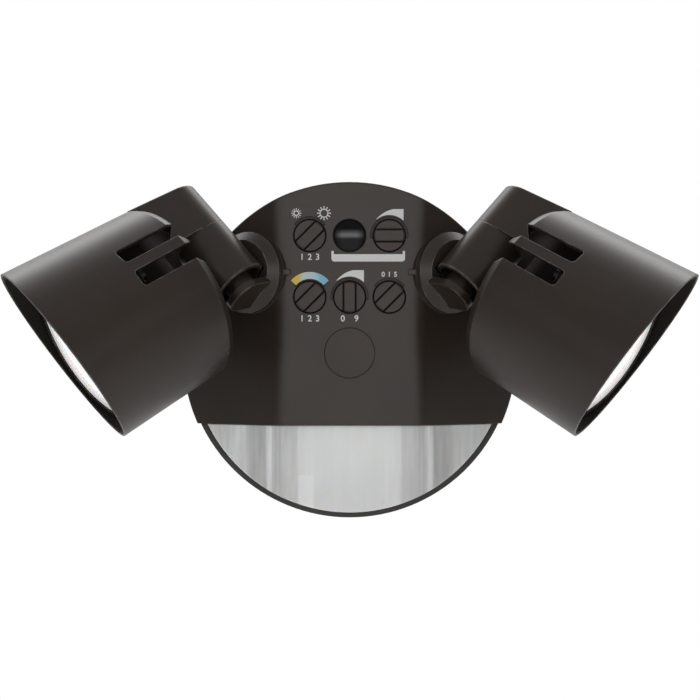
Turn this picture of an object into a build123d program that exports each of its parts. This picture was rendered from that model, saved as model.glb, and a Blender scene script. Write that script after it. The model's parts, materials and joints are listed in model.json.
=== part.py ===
from build123d import *
import math
import os

# Twin-head motion sensor security light for a round junction box.
# X is to the right as seen from the front, Y runs into the wall and Z is up.
# The origin is the centre of the canopy on the wall, and a "height" is a
# distance from the wall towards the viewer, that is along -Y. All sizes are mm.

# ---- Wall gasket, bracket and rear cover ----
cover_radius = 78.7
gasket_thickness = 2.0
gasket_width = 7.0
pocket_depth = 4.0
cover_floor = 3.0
cover_rim_rise = 5.0
cover_rim_wall = 2.3
cover_edge_round = 0.8
box_screw_spacing = 88.9
box_slot_length = 12.0
box_slot_width = 4.6
bracket_end_reach = 9.55
bracket_width = 20.0
bracket_thickness = 2.0
bolt_radius = 2.4
bolt_head_radius = 5.5
bolt_head_height = 3.6
bolt_socket = 2.0
thread_clearance = 0.05
bolt_hole_clearance = 0.5
wire_hole_radius = 9.0
wire_hole_drop = 28.0
grommet_lip = 2.0
grommet_bore = 6.0
fit_gap = 0.15

# ---- Front housing ----
housing_radius = 79.8
housing_front_radius = 79.0
housing_front = 49.6
housing_wall = 2.5
flat_half_width = 32.0
facet_angle = 36.0
corner_bend = 14.8
housing_edge_round = 0.8
housing_drop = 33.5
sill_thickness = 2.5
sill_width = 6.5
screw_post_radius = 4.0
screw_post_inset = 5.0
screw_post_angle = 60.4
screw_post_low = (46.0, -24.0)
housing_screw_radius = 1.6
housing_screw_length = 18.0
housing_screw_head = 3.1
cap_radius = 11.5
cap_thickness = 2.0
cap_skirt_depth = 6.0
cap_skirt_wall = 1.4
cap_ledge = 1.2
bolt_tube_wall = 2.4

# ---- Controls on the flat of the housing ----
dial_column = 18.36
dial_row_top = 54.2
dial_row_low = 25.8
dial_radius = 7.3
dial_gap = 0.35
dial_grip_rise = 0.6
dial_grip_width = 4.7
dial_groove_width = 0.9
dial_groove_depth = 0.8
dial_flange_width = 1.6
dial_flange_thickness = 1.2
dial_hub_radius = 4.2
dial_shaft_radius = 2.9
dial_shaft_depth = 3.2
pointer_reach = 1.1
pointer_width = 1.5
pointer_drop = 0.25
pointer_slot_depth = 1.1
pointer_slot_reach = 1.45
pointer_slot_spare = 8.0
running_gap = 0.3
shaft_clearance = 0.08
pot_size = 10.0
pot_height = 5.0
board_thickness = 1.6
board_corner_round = 2.0
control_board_half_width = 27.0
control_board_low = 15.0
control_board_high = 67.0
control_board_front = 35.6
board_post_radius = 2.4
board_post_row_top = 40.0
board_post_row_low = 18.0
photocell_radius = 2.6
photocell_height = 6.5
photocell_round = 0.9
window_rise = 0.7
window_rim_drop = 0.9

# ---- Driver and motion sensor inside the canopy ----
driver_board_side_inset = 40.7
driver_board_top_inset = 26.7
driver_board_low = -22.0
driver_standoff = 4.0
driver_standoff_radius = 3.0
transformer_width = 26.0
transformer_height = 22.0
transformer_depth = 12.0
transformer_core_reach = 3.0
transformer_round = 1.5
can_edge_round = 0.8
board_cutout_gap = 1.0
capacitor_radius = 5.0
capacitor_length = 11.0
lens_base_radius = 76.1
lens_front_radius = 74.0
lens_front = 45.0
lens_wall = 2.0
lens_flat_half_width = 38.0
lens_corner_bend = 6.0
lens_edge_round = 1.2
lens_seam = 0.2
lens_rib_pitch = 1.5
lens_rib_depth = 0.5
lens_rib_count = 3
fresnel_radius = 30.0
fresnel_thickness = 1.0
fresnel_low = -60.0
sensor_board_width = 44.0
sensor_board_low = -64.0
sensor_board_high = -38.0
sensor_board_rise = 6.0
pir_radius = 4.6
pir_height = 4.2
pir_row = -50.0

# ---- Swivel base: turns about the normal of the side facet ----
swivel_from_corner = 16.6
swivel_row = 37.3
swivel_radius = 18.9
boss_rise = 0.6
boss_depth = 4.0
swivel_disc_thickness = 6.7
swivel_chamfer = 3.8
stem_radius = 9.0
stem_bore = 5.5
stem_length = 10.5
swivel_nut_radius = 13.0
swivel_nut_thickness = 3.4
swivel_washer_radius = 12.6
swivel_washer_thickness = 0.8
swivel_washer_gap = 0.1
seal_mid_radius = 13.5
seal_width = 2.0
seal_thickness = 1.4
seal_seat_gap = 0.1
stop_tab_width = 3.1
stop_tab_height = 2.3
stop_tab_rise = 1.6
stop_tab_row = 37.3
stop_tab_centre = 28.9

# ---- Arm: leans out and up across the swivel base, and is the tilt axis ----
arm_climb = 47.36
arm_rise = 9.14
arm_above_facet = 18.0
head_offset = 4.6
arm_radius = 13.6
arm_wall = 2.2
arm_low = -13.1
arm_seam = 14.8
arm_web_low = -8.2
arm_web_thickness = 4.0
cradle_clearance = 0.7
cradle_end_gap = 1.0
cradle_step = 2.7
ear_edge_round = 0.6
arm_end_chamfer = 0.5
ear_back = -20.9
ear_radius = 9.0
ear_lift = 2.5
ear_thickness = 3.4
pivot_radius = 7.0
pivot_clearance = 0.08
pivot_proud = 0.4
pivot_washer_radius = 10.4
pivot_washer_thickness = 1.2
pivot_screw_radius = 2.5
pivot_screw_head_radius = 5.0
pivot_screw_head_height = 3.0
pivot_screw_depth = 11.0
pivot_screw_spare = 1.0

# ---- Lamp head: square to the arm, its barrel is a tapered shell ----
rest_tilt = -32.55
barrel_rear = 27.3
barrel_rear_radius = 41.74
barrel_taper = 2.16
barrel_length = 63.6
barrel_wall = 2.2
barrel_rear_chamfer = 3.4
barrel_rear_drop = 1.7
hood_angle = 19.34
slot_middle = 4.0
slot_angle = 9.15
slot_width = 8.2
slot_length = 32.2
slot_round = 1.8
slot_flare = 3.0
neck_top = 37.8
neck_top_rise = 3.6
neck_shoulder = 26.9
neck_inner_half_width = 6.5
web_low_row = 4.0
web_low_rear = 24.0
notch_low_reach = 22.9
notch_rear = 13.8
notch_rear_row = 23.6
notch_top_reach = 17.9
notch_top = 31.0
neck_spigot_depth = 4.0
neck_spigot_bore = 7.5
neck_edge_round = 0.8
wire_duct_radius = 4.0
wire_duct_row = 21.5
body_rear = 59.6
body_plate = 2.4
body_cup_depth = 3.4
body_cup_wall = 2.0
fin_rear = 48.0
fin_thickness = 1.6
fin_pitch = 6.3
fin_count = 5
fin_start = -24.5
fin_top = 9.0
fin_edge_gap = 3.0
body_boss_radius = 3.6
body_boss_length = 4.5
led_size = 3.5
led_height = 0.9
led_ring_radius = 16.0
led_ring_count = 8
led_board_gap = 1.8
reflector_rear_radius = 22.0
reflector_wall = 1.2
lens_frame_rear = 66.7
lens_frame_plate = 2.0
lens_frame_skirt = 1.3
lens_frame_depth = 8.0
lens_post_radius = 3.0
lens_post_count = 3
lens_post_start = 0.0
lens_gasket_thickness = 1.0
lens_gasket_width = 4.0
head_lens_thickness = 2.6
head_lens_crown = 1.2
lens_ring_width = 2.4
lens_ring_thickness = 1.6
head_screw_radius = 1.5
head_screw_head_radius = 2.9
head_screw_head_height = 1.8
head_screw_length = 10.5

# ---- Places that follow from the sizes above ----
pocket_floor = gasket_thickness + pocket_depth
floor_front = pocket_floor + cover_floor
rim_front = floor_front + cover_rim_rise
cap_bore = cap_radius + fit_gap
bolt_tube_bore = cap_radius - cap_ledge
bolt_tube_radius = cap_bore + bolt_tube_wall
panel_back = housing_front - housing_wall
dial_bore = dial_radius + dial_gap
bracket_length = box_screw_spacing + 2 * bracket_end_reach
driver_board_half_width = cover_radius - driver_board_side_inset
driver_board_high = cover_radius - driver_board_top_inset
screw_post_circle = cover_radius - gasket_width - screw_post_inset
screw_post_turn = math.radians(screw_post_angle)
screw_post_top = (screw_post_circle * math.cos(screw_post_turn), screw_post_circle * math.sin(screw_post_turn))
screw_post_places = [
    (side * column, row) for side in (-1, 1) for column, row in (screw_post_top, screw_post_low)
]

# Each dial: its column, its row, the angle of its pointer and the two ends of its slot.
dials = {
    "dim_dial": (-dial_column, dial_row_top, 45.0, 45.0, 135.0),
    "daylight_dial": (dial_column, dial_row_top, 180.0, 0.0, 180.0),
    "color_dial": (-dial_column, dial_row_low, 45.0, 45.0, 135.0),
    "motion_dial": (0.0, dial_row_low, 90.0, 0.0, 180.0),
    "mode_dial": (dial_column, dial_row_low, 45.0, 45.0, 135.0),
}
dial_places = [(column, row) for column, row, *_ in dials.values()]
board_post_places = [
    (side * dial_column / 2, row)
    for side in (-1, 1)
    for row in (board_post_row_top, board_post_row_low)
]


def save(builder, name):
    """Label a finished piece and write it under its own name."""
    builder.part.label = name
    export_step(builder.part, f"parts/{name}.step")


def save_pair(builder, name):
    """Write a piece of the left side and its mirror image on the right side."""
    save(builder, f"left_{name}")
    with BuildPart() as twin:
        mirror(builder.part, about=Plane.YZ)
    save(twin, f"right_{name}")


def front_plane(height):
    """Plane parallel to the wall: its x is X, its y is Z and it faces the viewer."""
    return Plane.XZ.offset(height)


def canopy_block(rear_radius, front_radius, rear, front, half_width, bend):
    """Round block with a flat front and a facet sloping back on each side."""
    reach = 2 * rear_radius
    drop = (reach - half_width) * math.tan(math.radians(facet_angle))
    with BuildPart() as block:
        with BuildSketch(Plane.XY):
            with BuildLine():
                Polyline((0, -rear), (rear_radius, -rear), (front_radius, -front), (0, -front), close=True)
            make_face()
        revolve(axis=Axis.Y)
        with BuildSketch(Plane.XY) as outline:
            with BuildLine():
                Polyline(
                    (-reach, reach),
                    (-reach, drop - front),
                    (-half_width, -front),
                    (half_width, -front),
                    (reach, drop - front),
                    (reach, reach),
                    close=True,
                )
            make_face()
            fillet(outline.vertices().group_by(Axis.Y)[0], bend)
        extrude(amount=reach, both=True, mode=Mode.INTERSECT)
    return block.part


def inset_corner(half_width, inset):
    """Half width of the flat once the flat and its facets move in by the inset."""
    return half_width - inset * math.tan(math.radians(facet_angle / 2))


def crown_middle(radius, rise):
    """Rise, half way out, of a spherical crown of this radius and rise."""
    sphere = (radius**2 + rise**2) / (2 * rise)
    return rise - sphere + math.sqrt(sphere**2 - radius**2 / 4)


# ---- Frames of the left arm and head ----
slope = math.radians(facet_angle)
facet_normal = Vector(-math.sin(slope), -math.cos(slope), 0)
facet_inward = Vector(math.cos(slope), -math.sin(slope), 0)
swivel_foot = Vector(
    -flat_half_width - swivel_from_corner * math.cos(slope),
    -housing_front + swivel_from_corner * math.sin(slope),
    swivel_row,
)
swivel_plane = Plane(origin=swivel_foot, x_dir=facet_inward, z_dir=facet_normal)

climb = math.radians(arm_climb)
rise = math.radians(arm_rise)
arm_direction = (
    facet_inward * (-math.cos(climb) * math.cos(rise))
    + Vector(0, 0, math.sin(climb) * math.cos(rise))
    + facet_normal * math.sin(rise)
)
away = (facet_normal - arm_direction * facet_normal.dot(arm_direction)).normalized()
across = arm_direction.cross(away)
tilt = math.radians(rest_tilt)
head_direction = away * math.cos(tilt) + across * math.sin(tilt)
head_up = arm_direction.cross(head_direction)
arm_crossing = swivel_foot + facet_normal * arm_above_facet
head_origin = arm_crossing + arm_direction * head_offset
head_plane = Plane(origin=head_origin, x_dir=head_direction, z_dir=arm_direction)
barrel_axis = Axis(head_origin, head_direction)
arm_axis = Axis(head_origin, arm_direction)
facet_axis = Axis(swivel_foot, facet_normal)


def swivel_level(height):
    """Plane parallel to the left facet: its x points to the middle and its y is up."""
    return swivel_plane.offset(height)


def arm_level(distance):
    """Plane square to the arm: its x is the head's forward direction."""
    return head_plane.offset(distance)


def barrel_level(distance):
    """Plane square to the barrel: its x is the head's upper side and its y runs along the arm."""
    return Plane(origin=head_origin + head_direction * distance, x_dir=head_up, z_dir=head_direction)


taper = math.tan(math.radians(barrel_taper))
hood_tilt = math.radians(hood_angle)


def barrel_outer(distance):
    """Outer radius of the barrel at a distance in front of the arm."""
    return barrel_rear_radius + (distance - barrel_rear) * taper


def barrel_inner(distance):
    """Inner radius of the barrel at a distance in front of the arm."""
    return barrel_outer(distance) - barrel_wall


lens_post_circle = barrel_inner(body_rear) - fit_gap - body_cup_wall - running_gap - lens_post_radius
light_radius = lens_post_circle - lens_post_radius - running_gap


def lens_posts():
    """Places of the posts and screws round the lamp lens."""
    return PolarLocations(lens_post_circle, lens_post_count, start_angle=lens_post_start)


# ---- Wall gasket: a foam ring between the rear cover and the wall ----
with BuildPart() as wall_gasket:
    with BuildSketch(front_plane(0)):
        Circle(cover_radius - cover_edge_round)
        Circle(cover_radius - gasket_width, mode=Mode.SUBTRACT)
    extrude(amount=gasket_thickness)
save(wall_gasket, "wall_gasket")

# ---- Mounting bracket: a steel crossbar with slots for the junction box screws ----
with BuildPart() as mounting_bracket:
    with BuildSketch(front_plane(0)):
        SlotOverall(bracket_length, bracket_width)
        with Locations((-box_screw_spacing / 2, 0), (box_screw_spacing / 2, 0)):
            SlotOverall(box_slot_length, box_slot_width, mode=Mode.SUBTRACT)
        Circle(bolt_radius + thread_clearance, mode=Mode.SUBTRACT)
    extrude(amount=bracket_thickness)
save(mounting_bracket, "mounting_bracket")

# ---- Mounting bolt: runs from the front of the rear cover into the bracket ----
with BuildPart() as mounting_bolt:
    with BuildSketch(front_plane(0)):
        Circle(bolt_radius)
    extrude(amount=floor_front + bolt_head_height / 2)
    with BuildSketch(front_plane(floor_front)):
        Circle(bolt_head_radius)
    extrude(amount=bolt_head_height)
    with BuildSketch(front_plane(floor_front + bolt_head_height)):
        RegularPolygon(radius=bolt_head_radius / 2, side_count=6)
    extrude(amount=-bolt_socket, mode=Mode.SUBTRACT)
save(mounting_bolt, "mounting_bolt")

# ---- Rear cover: a shallow round tray that carries everything else ----
standoff_places = [
    (side * (driver_board_half_width - 2 * driver_standoff_radius), row)
    for side in (-1, 1)
    for row in (
        driver_board_low + 2 * driver_standoff_radius,
        driver_board_high - 2 * driver_standoff_radius,
    )
]
with BuildPart() as rear_cover:
    with BuildSketch(front_plane(gasket_thickness)):
        Circle(cover_radius)
    extrude(amount=rim_front - gasket_thickness)
    fillet(rear_cover.edges().filter_by(GeomType.CIRCLE).group_by(Axis.Y)[-1], cover_edge_round)
    with BuildSketch(front_plane(gasket_thickness)):
        Circle(cover_radius - gasket_width)
    extrude(amount=pocket_depth, mode=Mode.SUBTRACT)
    with BuildSketch(front_plane(floor_front)):
        Circle(cover_radius - cover_rim_wall)
    extrude(amount=cover_rim_rise, mode=Mode.SUBTRACT)
    with BuildSketch(front_plane(floor_front)):
        with Locations(*standoff_places):
            Circle(driver_standoff_radius)
    extrude(amount=driver_standoff)
    with BuildSketch(front_plane(floor_front)):
        with Locations(*screw_post_places):
            Circle(screw_post_radius)
    extrude(amount=cover_rim_rise)
    with BuildSketch(front_plane(gasket_thickness)):
        Circle(bolt_radius + bolt_hole_clearance)
        with Locations((0, -wire_hole_drop)):
            Circle(wire_hole_radius)
        with Locations(*screw_post_places):
            Circle(housing_screw_radius + fit_gap)
    extrude(amount=rim_front, mode=Mode.SUBTRACT)
save(rear_cover, "rear_cover")

# ---- Wire grommet: seals the supply opening in the rear cover ----
with BuildPart() as wire_grommet:
    with BuildSketch(front_plane(pocket_floor - grommet_lip / 2)):
        with Locations((0, -wire_hole_drop)):
            Circle(wire_hole_radius + grommet_lip)
    extrude(amount=grommet_lip / 2)
    with BuildSketch(front_plane(pocket_floor)):
        with Locations((0, -wire_hole_drop)):
            Circle(wire_hole_radius - fit_gap)
    extrude(amount=cover_floor)
    with BuildSketch(front_plane(floor_front)):
        with Locations((0, -wire_hole_drop)):
            Circle(wire_hole_radius + grommet_lip)
    extrude(amount=grommet_lip / 2)
    with BuildSketch(front_plane(pocket_floor - grommet_lip)):
        with Locations((0, -wire_hole_drop)):
            Circle(grommet_bore)
    extrude(amount=cover_floor + 2 * grommet_lip, mode=Mode.SUBTRACT)
save(wire_grommet, "wire_grommet")

# ---- Front housing: a faceted shell, open at the back, cut off above the sensor lens ----
housing_outer = canopy_block(
    housing_radius, housing_front_radius, rim_front, housing_front, flat_half_width, corner_bend
)
housing_hollow = canopy_block(
    housing_radius - housing_wall,
    housing_front_radius - housing_wall,
    floor_front,
    panel_back,
    inset_corner(flat_half_width, housing_wall),
    corner_bend - housing_wall,
)
sill_inset = housing_wall + sill_width
sill_hollow = canopy_block(
    housing_radius - sill_inset,
    housing_front_radius - sill_inset,
    floor_front,
    housing_front - sill_inset,
    inset_corner(flat_half_width, sill_inset),
    corner_bend - sill_inset,
)
with BuildPart() as hollow_above_sill:
    add(housing_hollow)
    split(bisect_by=Plane.XY.offset(sill_thickness - housing_drop), keep=Keep.TOP)

with BuildPart() as screw_posts:
    with BuildSketch(front_plane(rim_front)):
        with Locations(*screw_post_places):
            Circle(screw_post_radius)
    extrude(amount=housing_front)
    add(housing_outer, mode=Mode.INTERSECT)

right_swivel_plane = Plane(
    origin=(-swivel_foot.X, swivel_foot.Y, swivel_foot.Z),
    x_dir=(-facet_inward.X, facet_inward.Y, 0),
    z_dir=(-facet_normal.X, facet_normal.Y, 0),
)
with BuildPart() as front_housing:
    add(housing_outer)
    split(bisect_by=Plane.XY.offset(-housing_drop), keep=Keep.TOP)
    front_rim = front_housing.faces().sort_by(Axis.Y)[0].edges().filter_by(GeomType.CIRCLE)
    fillet(front_rim, housing_edge_round)
    add(hollow_above_sill.part, mode=Mode.SUBTRACT)
    add(sill_hollow, mode=Mode.SUBTRACT)
    # A round boss under each swivel base, with the bore for its stem.
    for plane in (swivel_plane, right_swivel_plane):
        with BuildSketch(plane.offset(-boss_depth)):
            Circle(swivel_radius)
        extrude(amount=boss_depth + boss_rise)
        with BuildSketch(plane.offset(-2 * boss_depth)):
            Circle(stem_radius + shaft_clearance)
        extrude(amount=3 * boss_depth, mode=Mode.SUBTRACT)
    # The tube round the mounting bolt, with the ledge for its cap.
    with BuildSketch(front_plane(floor_front)):
        Circle(bolt_tube_radius)
    extrude(amount=panel_back - floor_front)
    with BuildSketch(front_plane(floor_front)):
        Circle(bolt_tube_bore)
    extrude(amount=housing_front - floor_front, mode=Mode.SUBTRACT)
    with BuildSketch(front_plane(housing_front)):
        Circle(cap_bore)
    extrude(amount=-cap_thickness, mode=Mode.SUBTRACT)
    # Posts for the control board behind the flat.
    with BuildSketch(front_plane(control_board_front)):
        with Locations(*board_post_places):
            Circle(board_post_radius)
    extrude(amount=panel_back - control_board_front)
    # Holes for the dials and the photocell window, and a shallow slot for each pointer.
    with BuildSketch(front_plane(panel_back)):
        with Locations(*dial_places, (0, dial_row_top)):
            Circle(dial_bore)
    extrude(amount=housing_wall, mode=Mode.SUBTRACT)
    for column, row, _, slot_start, slot_end in dials.values():
        with BuildSketch(front_plane(housing_front)):
            with BuildLine():
                start = slot_start - pointer_slot_spare
                sweep_angle = slot_end - slot_start + 2 * pointer_slot_spare
                outer_arc = CenterArc((column, row), dial_radius + pointer_slot_reach, start, sweep_angle)
                inner_arc = CenterArc((column, row), dial_radius, start, sweep_angle)
                Line(outer_arc @ 0, inner_arc @ 0)
                Line(outer_arc @ 1, inner_arc @ 1)
            make_face()
        extrude(amount=-pointer_slot_depth, mode=Mode.SUBTRACT)
    # Screw posts that the rear screws bite into.
    add(screw_posts.part)
    with BuildSketch(front_plane(floor_front)):
        with Locations(*screw_post_places):
            Circle(housing_screw_radius + thread_clearance)
    extrude(amount=housing_screw_length, mode=Mode.SUBTRACT)
    # A small stop tab on the flat beside each swivel base.
    with BuildSketch(front_plane(panel_back)):
        with Locations((-stop_tab_centre, stop_tab_row), (stop_tab_centre, stop_tab_row)):
            Rectangle(stop_tab_width, stop_tab_height)
    extrude(amount=housing_wall + stop_tab_rise)
save(front_housing, "front_housing")

# ---- Housing screws: driven from the back into the housing posts ----
with BuildPart() as housing_screws:
    with BuildSketch(front_plane(pocket_floor)):
        with Locations(*screw_post_places):
            Circle(housing_screw_radius)
    extrude(amount=housing_screw_length)
    with BuildSketch(front_plane(pocket_floor)):
        with Locations(*screw_post_places):
            Circle(housing_screw_head)
    extrude(amount=-housing_screw_radius)
save(housing_screws, "housing_screws")

# ---- Screw cap: closes the tube over the mounting bolt ----
with BuildPart() as screw_cap:
    with BuildSketch(front_plane(housing_front - cap_thickness)):
        Circle(cap_radius)
    extrude(amount=cap_thickness)
    fillet(screw_cap.edges().filter_by(GeomType.CIRCLE).group_by(Axis.Y)[0], fit_gap)
    with BuildSketch(front_plane(housing_front - cap_thickness)):
        Circle(bolt_tube_bore - fit_gap)
        Circle(bolt_tube_bore - fit_gap - cap_skirt_wall, mode=Mode.SUBTRACT)
    extrude(amount=-cap_skirt_depth)
save(screw_cap, "screw_cap")

# ---- Control board with its potentiometers and photocell ----
with BuildPart() as control_board:
    with BuildSketch(front_plane(control_board_front - board_thickness)):
        with Locations((0, (control_board_low + control_board_high) / 2)):
            RectangleRounded(
                2 * control_board_half_width, control_board_high - control_board_low, board_corner_round
            )
    extrude(amount=board_thickness)
save(control_board, "control_board")

with BuildPart() as potentiometers:
    with BuildSketch(front_plane(control_board_front)):
        with Locations(*dial_places):
            Rectangle(pot_size, pot_size)
            Circle(dial_shaft_radius + shaft_clearance, mode=Mode.SUBTRACT)
    extrude(amount=pot_height)
save(potentiometers, "potentiometers")

with BuildPart() as photocell:
    with BuildSketch(front_plane(control_board_front)):
        with Locations((0, dial_row_top)):
            Circle(photocell_radius)
    extrude(amount=photocell_height)
    fillet(photocell.edges().group_by(Axis.Y)[0], photocell_round)
save(photocell, "photocell")

# ---- Photocell window: a dark domed button in the top row of the controls ----
flange_radius = dial_radius + dial_flange_width
flange_front = panel_back - running_gap
flange_back = flange_front - dial_flange_thickness
window_edge = housing_front - window_rim_drop
window_crown = housing_front + window_rise
with BuildPart() as photocell_window:
    with BuildSketch(Plane.XY.offset(dial_row_top)):
        with BuildLine():
            Polyline(
                (0, -window_crown),
                (0, -flange_back),
                (flange_radius, -flange_back),
                (flange_radius, -flange_front),
                (dial_radius, -flange_front),
                (dial_radius, -window_edge),
            )
            ThreePointArc(
                (dial_radius, -window_edge),
                (dial_radius / 2, -window_edge - crown_middle(dial_radius, window_crown - window_edge)),
                (0, -window_crown),
            )
        make_face()
    revolve(axis=Axis((0, 0, dial_row_top), (0, 1, 0)))
save(photocell_window, "photocell_window")

# ---- Dials: a slotted disc with a grip bar, a pointer and a shaft into its potentiometer ----
shaft_end = control_board_front + pot_height - dial_shaft_depth
hub_end = control_board_front + pot_height + running_gap
groove_offset = (dial_grip_width + dial_groove_width) / 2
for dial_name, (column, row, pointer, slot_start, slot_end) in dials.items():
    with BuildPart() as dial:
        with BuildSketch(front_plane(shaft_end)):
            with Locations((column, row)):
                Circle(dial_shaft_radius)
        extrude(amount=flange_back - shaft_end)
        with BuildSketch(front_plane(hub_end)):
            with Locations((column, row)):
                Circle(dial_hub_radius)
        extrude(amount=flange_back - hub_end)
        with BuildSketch(front_plane(flange_back)):
            with Locations((column, row)):
                Circle(flange_radius)
        extrude(amount=dial_flange_thickness)
        with BuildSketch(front_plane(flange_front)):
            with Locations((column, row)):
                Circle(dial_radius)
        extrude(amount=housing_front - flange_front)
        # The grip bar stands proud between two grooves.
        with BuildSketch(front_plane(housing_front)) as grip:
            with Locations((column, row)):
                Circle(dial_radius - dial_groove_depth)
                Rectangle(2 * dial_radius, dial_grip_width, rotation=pointer, mode=Mode.INTERSECT)
        extrude(amount=dial_grip_rise)
        turn = math.radians(pointer)
        groove_x = -groove_offset * math.sin(turn)
        groove_y = groove_offset * math.cos(turn)
        with BuildSketch(front_plane(housing_front)):
            with Locations((column + groove_x, row + groove_y), (column - groove_x, row - groove_y)):
                Rectangle(2 * dial_radius, dial_groove_width, rotation=pointer)
        extrude(amount=-dial_groove_depth, mode=Mode.SUBTRACT)
        # The pointer runs in the slot round the dial.
        pointer_middle = dial_radius + (pointer_reach - dial_groove_depth) / 2
        with BuildSketch(front_plane(housing_front - pointer_drop)):
            with Locations((column + pointer_middle * math.cos(turn), row + pointer_middle * math.sin(turn))):
                Rectangle(pointer_reach + dial_groove_depth, pointer_width, rotation=pointer)
        extrude(amount=pointer_drop + running_gap / 2 - pointer_slot_depth)
    save(dial, dial_name)

# ---- Driver board on the standoffs of the rear cover, with its tall parts ----
driver_board_back = floor_front + driver_standoff
driver_board_front = driver_board_back + board_thickness
with BuildPart() as driver_board:
    with BuildSketch(front_plane(driver_board_back)):
        with Locations((0, (driver_board_low + driver_board_high) / 2)):
            RectangleRounded(
                2 * driver_board_half_width, driver_board_high - driver_board_low, board_corner_round
            )
        Circle(bolt_tube_radius + board_cutout_gap, mode=Mode.SUBTRACT)
        with Locations((0, -wire_hole_drop)):
            Circle(wire_hole_radius + grommet_lip + board_cutout_gap, mode=Mode.SUBTRACT)
    extrude(amount=board_thickness)
save(driver_board, "driver_board")

with BuildPart() as driver_transformer:
    with BuildSketch(front_plane(driver_board_front)):
        with Locations((0, (control_board_low + control_board_high) / 2)):
            Rectangle(transformer_width, transformer_height)
    extrude(amount=transformer_depth)
    fillet(driver_transformer.edges().filter_by(Axis.Y), transformer_round)
    with BuildSketch(front_plane(driver_board_front + transformer_depth / 4)):
        with Locations((0, (control_board_low + control_board_high) / 2)):
            RectangleRounded(
                transformer_width + 2 * transformer_core_reach,
                transformer_height - 2 * transformer_core_reach,
                transformer_round,
            )
    extrude(amount=transformer_depth / 2)
save(driver_transformer, "driver_transformer")

capacitor_column = transformer_width / 2 + 3 * capacitor_radius
capacitor_row = control_board_low + 3 * capacitor_radius
capacitor_places = [(side * capacitor_column, capacitor_row) for side in (-1, 1)]
with BuildPart() as driver_capacitors:
    with BuildSketch(front_plane(driver_board_front)):
        with Locations(*capacitor_places):
            Circle(capacitor_radius)
    extrude(amount=capacitor_length)
    fillet(driver_capacitors.edges().filter_by(GeomType.CIRCLE).group_by(Axis.Y)[0], can_edge_round)
save(driver_capacitors, "driver_capacitors")

# ---- Motion sensor: its board and pyroelectric can behind the lens ----
with BuildPart() as sensor_board:
    sensor_middle = (sensor_board_low + sensor_board_high) / 2
    with BuildSketch(front_plane(floor_front + sensor_board_rise)):
        with Locations((0, sensor_middle)):
            RectangleRounded(sensor_board_width, sensor_board_high - sensor_board_low, board_corner_round)
    extrude(amount=board_thickness)
    with BuildSketch(front_plane(floor_front)):
        with Locations((-sensor_board_width / 3, sensor_middle), (sensor_board_width / 3, sensor_middle)):
            Circle(driver_standoff_radius)
    extrude(amount=sensor_board_rise)
save(sensor_board, "sensor_board")

with BuildPart() as pir_sensor:
    with BuildSketch(front_plane(floor_front + sensor_board_rise + board_thickness)):
        with Locations((0, pir_row)):
            Circle(pir_radius)
    extrude(amount=pir_height)
    fillet(pir_sensor.edges().group_by(Axis.Y)[0], can_edge_round)
save(pir_sensor, "pir_sensor")

with BuildPart() as fresnel_lens:
    with BuildSketch(Plane.XY.offset(fresnel_low)):
        with Locations((0, -floor_front)):
            Circle(fresnel_radius)
            Circle(fresnel_radius - fresnel_thickness, mode=Mode.SUBTRACT)
        with Locations((0, fresnel_radius - floor_front)):
            Rectangle(3 * fresnel_radius, 2 * fresnel_radius, mode=Mode.SUBTRACT)
    extrude(amount=-housing_drop - lens_seam - fresnel_low)
save(fresnel_lens, "fresnel_lens")

# ---- Sensor lens: the translucent lower part of the canopy, set back from the flat ----
lens_outer = canopy_block(
    lens_base_radius, lens_front_radius, floor_front, lens_front, lens_flat_half_width, lens_corner_bend
)
lens_hollow = canopy_block(
    lens_base_radius - lens_wall,
    lens_front_radius - lens_wall,
    floor_front - running_gap,
    lens_front - lens_wall,
    inset_corner(lens_flat_half_width, lens_wall),
    lens_corner_bend - lens_wall,
)
lens_top = -housing_drop - lens_seam
with BuildPart() as sensor_lens:
    add(lens_outer)
    split(bisect_by=Plane.XY.offset(lens_top), keep=Keep.BOTTOM)
    fillet(
        sensor_lens.faces().sort_by(Axis.Y)[0].edges().filter_by(GeomType.CIRCLE),
        lens_edge_round,
    )
    add(lens_hollow, mode=Mode.SUBTRACT)
    # Fine upright ribs beside each corner of the flat.
    with BuildSketch(Plane.XY.offset(lens_top)):
        for side in (-1, 1):
            for index in range(lens_rib_count):
                rib_x = side * (lens_flat_half_width - lens_corner_bend / 2 - index * lens_rib_pitch)
                with Locations((rib_x, -lens_front + lens_wall)):
                    Rectangle(lens_rib_pitch / 2, 2 * lens_rib_depth)
    extrude(amount=-lens_base_radius / 3)
save(sensor_lens, "sensor_lens")

# ---- Swivel base: a stem in the housing, a chamfered disc and an ear for the arm ----
stem_tail = -boss_depth - stem_length
ear_front = ear_back + ear_thickness
web_front = arm_web_low + arm_web_thickness
pivot_tip = web_front + pivot_proud
disc_bottom = boss_rise + running_gap
seal_groove = seal_thickness + seal_seat_gap - running_gap
ear_plane = Plane(origin=arm_level(ear_back).origin, x_dir=away, z_dir=arm_direction)
with BuildPart() as ear:
    with BuildSketch(ear_plane):
        with Locations((ear_lift, 0)):
            Circle(ear_radius)
        with Locations((ear_lift - arm_radius, 0)):
            Rectangle(2 * arm_radius, 2 * ear_radius)
    extrude(amount=ear_thickness)
    fillet(ear.faces().sort_by(arm_axis)[0].edges().filter_by(GeomType.CIRCLE), ear_edge_round)
    with BuildSketch(swivel_level(disc_bottom)):
        Circle(swivel_radius)
    extrude(amount=2 * arm_above_facet, mode=Mode.INTERSECT)
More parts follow.
